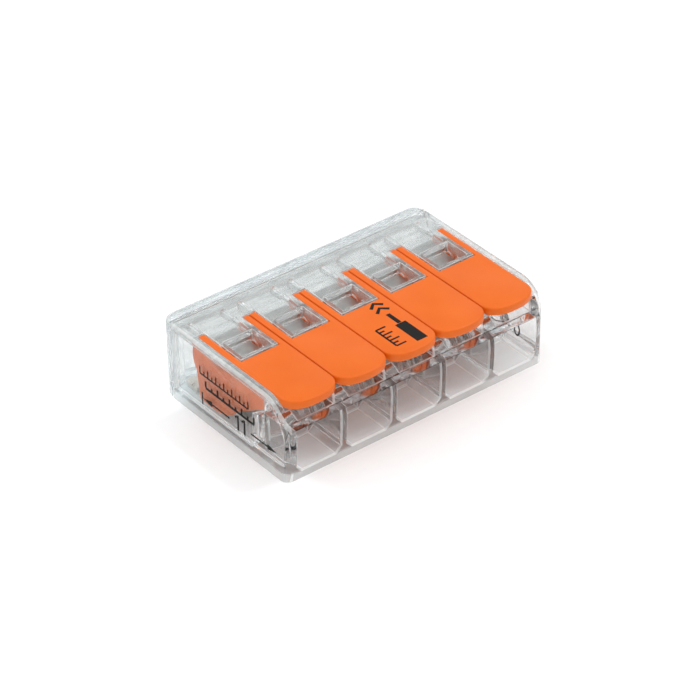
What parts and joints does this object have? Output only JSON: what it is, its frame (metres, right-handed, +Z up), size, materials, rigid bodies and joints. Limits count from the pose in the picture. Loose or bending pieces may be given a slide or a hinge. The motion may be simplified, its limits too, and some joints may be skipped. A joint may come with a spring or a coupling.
{
  "type": "lever wire connector",
  "caption": "Compact clear-housed splicing connector with a row of orange cam levers, side-by-side wire entries, a common busbar and test slots.",
  "frame": {"origin": "middle of the flat base that the connector stands on", "axes": "+X along the row of poles, -Y towards the wire entries, +Z up through the levers"},
  "size_m": [0.03, 0.0188, 0.0084],
  "materials": {
    "clear_housing": "clear polished polycarbonate",
    "orange_lever": "satin moulded",
    "tinned_copper": "bright tin plating",
    "spring_steel": "rolled stainless strip"
  },
  "bodies": {
    "root": {"housing": "clear_housing", "rear_cover": "clear_housing", "busbar": "tinned_copper", "spring_1": "spring_steel", "spring_2": "spring_steel", "spring_3": "spring_steel", "spring_4": "spring_steel", "spring_5": "spring_steel"},
    "lever_1": {"lever_1": "orange_lever"},
    "clamp_1": {"clamp_leg_1": "spring_steel"},
    "lever_2": {"lever_2": "orange_lever"},
    "clamp_2": {"clamp_leg_2": "spring_steel"},
    "lever_3": {"lever_3": "orange_lever"},
    "clamp_3": {"clamp_leg_3": "spring_steel"},
    "lever_4": {"lever_4": "orange_lever"},
    "clamp_4": {"clamp_leg_4": "spring_steel"},
    "lever_5": {"lever_5": "orange_lever"},
    "clamp_5": {"clamp_leg_5": "spring_steel"}
  },
  "joints": [
    {"name": "lever_1_hinge", "type": "hinge", "parent": "root", "child": "lever_1", "pos_m": [-0.0114, 0.00245, 0.0063], "axis": [-1, 0, 0], "range_deg": [0, 90]},
    {"name": "lever_2_hinge", "type": "hinge", "parent": "root", "child": "lever_2", "pos_m": [-0.0057, 0.00245, 0.0063], "axis": [-1, 0, 0], "range_deg": [0, 90]},
    {"name": "lever_3_hinge", "type": "hinge", "parent": "root", "child": "lever_3", "pos_m": [0, 0.00245, 0.0063], "axis": [-1, 0, 0], "range_deg": [0, 90]},
    {"name": "lever_4_hinge", "type": "hinge", "parent": "root", "child": "lever_4", "pos_m": [0.0057, 0.00245, 0.0063], "axis": [-1, 0, 0], "range_deg": [0, 90]},
    {"name": "lever_5_hinge", "type": "hinge", "parent": "root", "child": "lever_5", "pos_m": [0.0114, 0.00245, 0.0063], "axis": [-1, 0, 0], "range_deg": [0, 90]},
    {"name": "clamp_1_hinge", "type": "hinge", "parent": "root", "child": "clamp_1", "pos_m": [-0.0114, -0.0023, 0.00565], "axis": [1, 0, 0], "range_deg": [0, 30.5]},
    {"name": "clamp_2_hinge", "type": "hinge", "parent": "root", "child": "clamp_2", "pos_m": [-0.0057, -0.0023, 0.00565], "axis": [1, 0, 0], "range_deg": [0, 30.5]},
    {"name": "clamp_3_hinge", "type": "hinge", "parent": "root", "child": "clamp_3", "pos_m": [0, -0.0023, 0.00565], "axis": [1, 0, 0], "range_deg": [0, 30.5]},
    {"name": "clamp_4_hinge", "type": "hinge", "parent": "root", "child": "clamp_4", "pos_m": [0.0057, -0.0023, 0.00565], "axis": [1, 0, 0], "range_deg": [0, 30.5]},
    {"name": "clamp_5_hinge", "type": "hinge", "parent": "root", "child": "clamp_5", "pos_m": [0.0114, -0.0023, 0.00565], "axis": [1, 0, 0], "range_deg": [0, 30.5]}
  ],
  "couplings": [
    {"joint": "clamp_1_hinge", "follows": "lever_1_hinge", "ratio": 0.33333},
    {"joint": "clamp_2_hinge", "follows": "lever_2_hinge", "ratio": 0.33333},
    {"joint": "clamp_3_hinge", "follows": "lever_3_hinge", "ratio": 0.33333},
    {"joint": "clamp_4_hinge", "follows": "lever_4_hinge", "ratio": 0.33333},
    {"joint": "clamp_5_hinge", "follows": "lever_5_hinge", "ratio": 0.33333}
  ]
}
